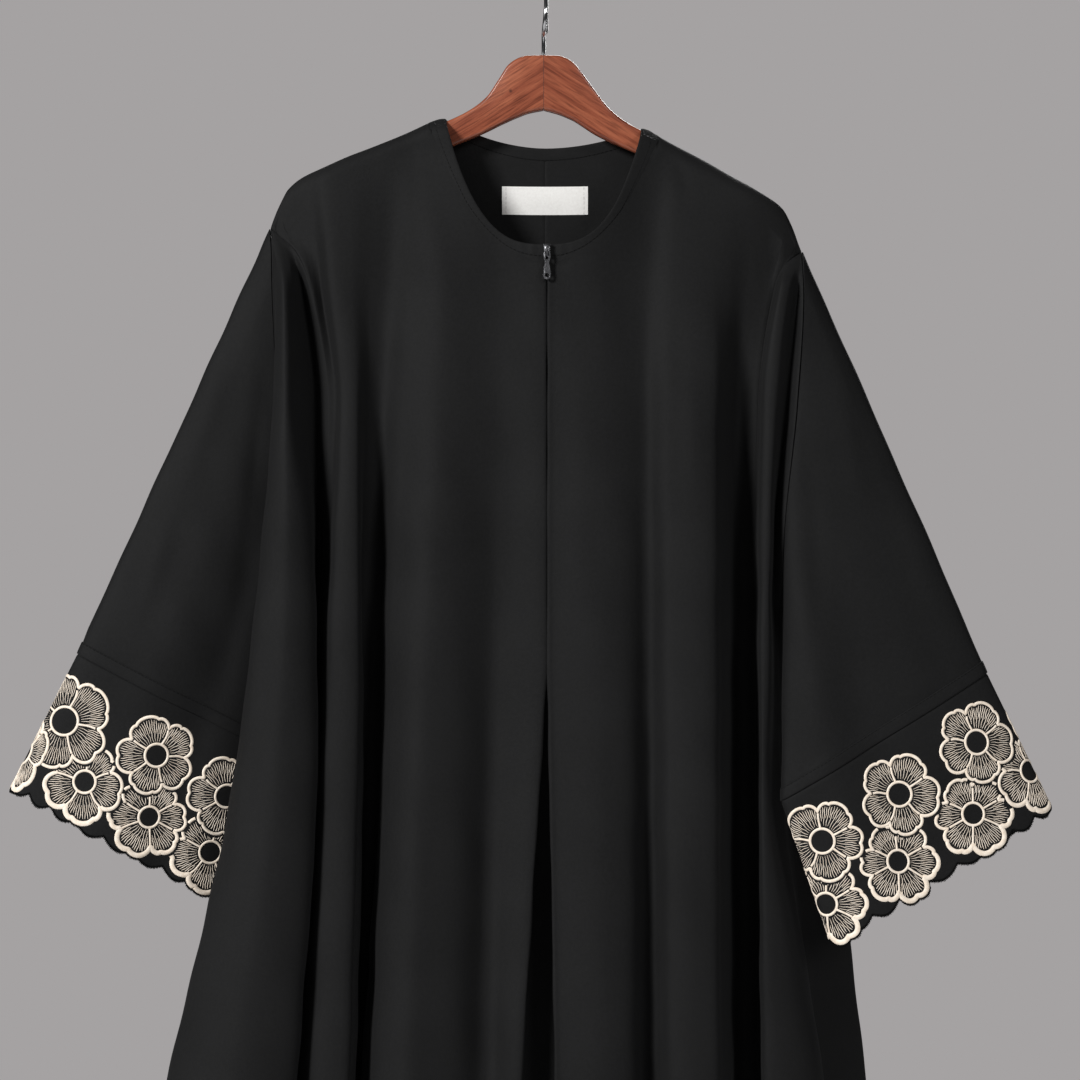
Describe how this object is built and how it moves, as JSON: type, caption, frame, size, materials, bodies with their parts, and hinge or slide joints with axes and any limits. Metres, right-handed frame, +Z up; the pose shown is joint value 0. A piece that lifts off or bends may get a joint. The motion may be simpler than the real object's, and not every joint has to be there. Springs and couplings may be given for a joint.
{
  "type": "abaya cloak on a wooden hanger",
  "caption": "Wide-sleeved closed robe in crepe with a zip neck, an inverted front pleat and scalloped embroidered cuffs, hung on a wooden hanger.",
  "frame": {"origin": "inner top of the hook, where it lies on a rail", "axes": "+Z up, -Y the way the garment's front faces, +X to the right as the front is looked at"},
  "size_m": [0.9924, 0.1906, 1.5341],
  "materials": {
    "crepe": "matt black crepe",
    "satin": "white satin",
    "dark_metal": "dark plated zip metal",
    "walnut": "red-brown varnished hardwood",
    "steel": "polished steel wire"
  },
  "bodies": {
    "garment": {"front_left": "crepe", "front_right": "crepe", "side_left": "crepe", "side_right": "crepe", "back_left": "crepe", "back_right": "crepe", "neck_band_front_left": "crepe", "neck_band_front_right": "crepe", "neck_band_back_left": "crepe", "neck_band_back_right": "crepe", "sleeve_left": "crepe", "sleeve_right": "crepe", "sleeve_band_left": "crepe", "sleeve_band_right": "crepe", "cuff_left": "crepe", "cuff_right": "crepe", "pleat_panel": "crepe", "zip_tape": "crepe", "label": "satin", "zip_slider": "dark_metal", "hanger_left": "walnut", "hanger_right": "walnut", "hook": "steel"},
    "pull": {"zip_pull": "dark_metal"}
  },
  "joints": [
    {"name": "pull_swing", "type": "hinge", "parent": "garment", "child": "pull", "pos_m": [0.0008, -0.0472, -0.2475], "axis": [-1, 0, 0], "range_deg": [0, 150]}
  ]
}
